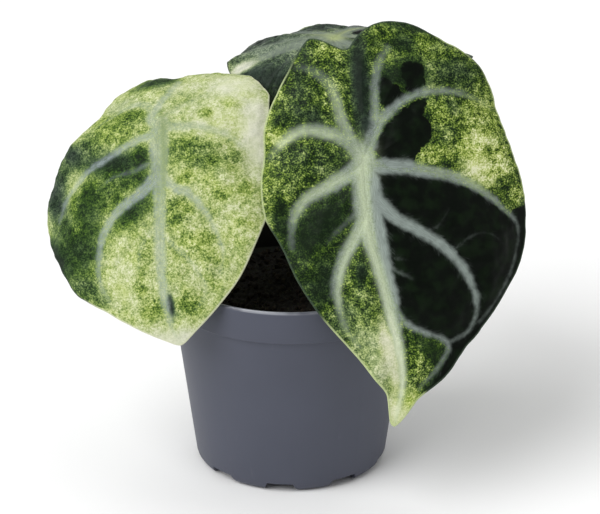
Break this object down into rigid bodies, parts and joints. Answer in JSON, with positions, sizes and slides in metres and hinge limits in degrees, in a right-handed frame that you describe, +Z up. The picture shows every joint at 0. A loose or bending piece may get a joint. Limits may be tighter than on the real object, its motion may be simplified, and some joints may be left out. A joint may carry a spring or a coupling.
{
  "type": "potted variegated ninja alocasia",
  "caption": "Young variegated alocasia with shield-shaped leaves on stalks, standing in soil in a round tapered nursery pot.",
  "frame": {"origin": "centre of the pot's underside, on the surface that it stands on", "axes": "+Z up along the pot's axis, +X to the right of the front view, +Y away from the front view"},
  "size_m": [0.1731, 0.1587, 0.17],
  "materials": {
    "pot": "matte slate-blue injection-moulded plastic with a smooth satin lip",
    "soil": "near-black crumbly peat mix",
    "rhizome": "brown ringed stem base",
    "petiole": "pale green, smooth and slightly waxy",
    "leaf_dark": "near-black green and speckled lime sectors, silver-green veins, satin",
    "leaf_pale": "cream and lime speckle over mid green, silvery veins, satin",
    "leaf_grey": "grey-green with broad silvery veins, satin"
  },
  "bodies": {
    "root": {"pot": "pot", "soil": "soil", "rhizome": "rhizome", "petiole_right": "petiole", "petiole_left": "petiole", "petiole_back": "petiole", "leaf_right": "leaf_dark", "leaf_left": "leaf_pale", "leaf_back": "leaf_grey"}
  },
  "joints": []
}
